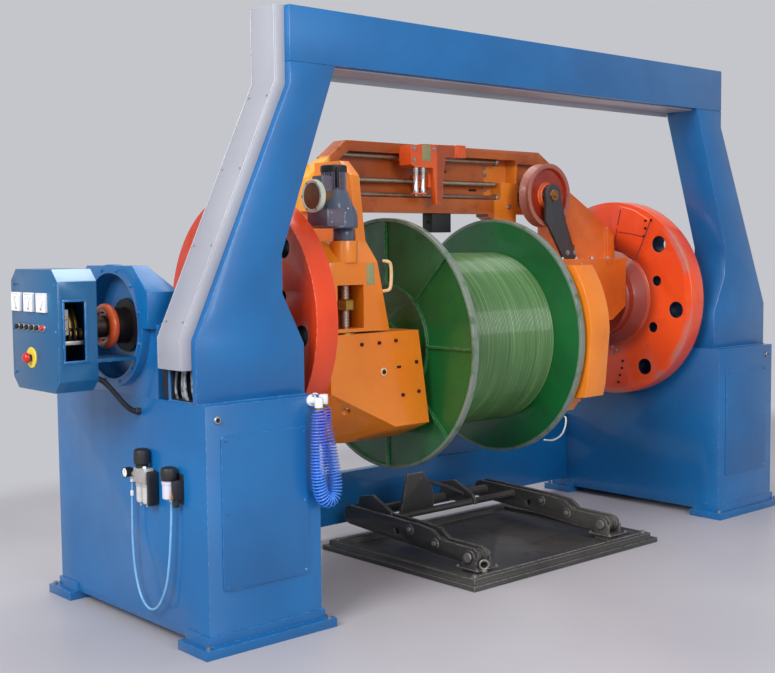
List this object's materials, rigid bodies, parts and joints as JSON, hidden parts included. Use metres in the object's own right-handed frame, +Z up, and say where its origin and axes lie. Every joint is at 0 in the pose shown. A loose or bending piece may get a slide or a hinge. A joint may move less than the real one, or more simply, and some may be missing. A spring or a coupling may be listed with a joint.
{
  "type": "rotating drum twister",
  "caption": "Portal-framed drum twister: a two-disc rotor swings a wire drum held between pintles, with a traverse carriage, guide sheave, slip-ring box and floor lift.",
  "frame": {"origin": "on the floor under the rotor axis, midway between the two pedestals, on the underside of the lift base", "axes": "+X along the rotor axis, from the slip-ring box towards the wire inlet; +Z up; -Y is the loading side"},
  "size_m": [4.461, 1.378, 2.545],
  "materials": {
    "blue_paint": "gloss",
    "duct_grey": "satin",
    "cable_grey": "matte",
    "white_plastic": "gloss",
    "black_plastic": "satin",
    "stop_red": "gloss",
    "air_silver": "satin",
    "clear_hose": "gloss",
    "blue_hose": "gloss",
    "lift_black": "worn",
    "red_orange_paint": "gloss",
    "orange_paint": "gloss",
    "steel": "satin",
    "brass": "satin",
    "motor_grey": "satin",
    "green_paint": "gloss",
    "green_wire": "satin"
  },
  "bodies": {
    "frame": {"left_pedestal": "blue_paint", "right_pedestal": "blue_paint", "pedestal_covers": "blue_paint", "left_leg": "blue_paint", "right_leg": "blue_paint", "portal_beam": "blue_paint", "cable_duct": "duct_grey", "duct_cables": "cable_grey", "left_bearing_bracket": "blue_paint", "right_bearing_bracket": "blue_paint", "slip_ring_box": "blue_paint", "panel_meters": "white_plastic", "panel_controls": "black_plastic", "box_conduit": "cable_grey", "air_unit": "air_silver", "air_tube": "clear_hose", "hose_coupling": "white_plastic", "spiral_hose": "blue_hose", "tie_beam": "blue_paint", "lift_base": "lift_black"},
    "rotor": {"left_disc": "red_orange_paint", "right_disc": "red_orange_paint", "left_shaft": "steel", "right_shaft": "steel", "brake_disc": "red_orange_paint", "slip_rings": "brass", "left_arm": "orange_paint", "right_arm": "orange_paint", "traverse_beam": "orange_paint", "rails_and_screws": "steel", "gearmotor": "motor_grey", "sheave_bracket": "lift_black", "wire_sensor": "black_plastic"},
    "carriage": {"carriage": "red_orange_paint", "wire_roller": "steel"},
    "left_carrier": {"left_carrier": "orange_paint", "left_pintle": "steel"},
    "right_carrier": {"right_carrier": "orange_paint", "right_pintle": "steel"},
    "drum": {"left_flange": "green_paint", "right_flange": "green_paint", "drum_barrel": "green_paint", "wound_wire": "green_wire"},
    "sheave": {"guide_sheave": "red_orange_paint"},
    "lift": {"lift_arms": "lift_black"}
  },
  "joints": [
    {"name": "rotor_spin", "type": "hinge", "parent": "frame", "child": "rotor", "pos_m": [0, 0, 1.255], "axis": [1, 0, 0], "continuous": true},
    {"name": "left_carrier_travel", "type": "slide", "parent": "rotor", "child": "left_carrier", "axis": [0, 0, 1], "range_m": [-0.25, 0]},
    {"name": "right_carrier_travel", "type": "slide", "parent": "rotor", "child": "right_carrier", "axis": [0, 0, 1], "range_m": [-0.25, 0]},
    {"name": "drum_spin", "type": "hinge", "parent": "left_carrier", "child": "drum", "pos_m": [-0.124, 0, 1.089], "axis": [1, 0, 0], "continuous": true},
    {"name": "carriage_travel", "type": "slide", "parent": "rotor", "child": "carriage", "axis": [1, 0, 0], "range_m": [-0.18, 0.5]},
    {"name": "sheave_spin", "type": "hinge", "parent": "rotor", "child": "sheave", "pos_m": [0.6, -0.075, 1.845], "axis": [0, 1, 0], "continuous": true},
    {"name": "lift_raise", "type": "hinge", "parent": "frame", "child": "lift", "pos_m": [0.05, -0.56, 0.105], "axis": [1, 0, 0], "range_deg": [0, 15]}
  ],
  "couplings": [
    {"joint": "right_carrier_travel", "follows": "left_carrier_travel", "ratio": 1}
  ]
}
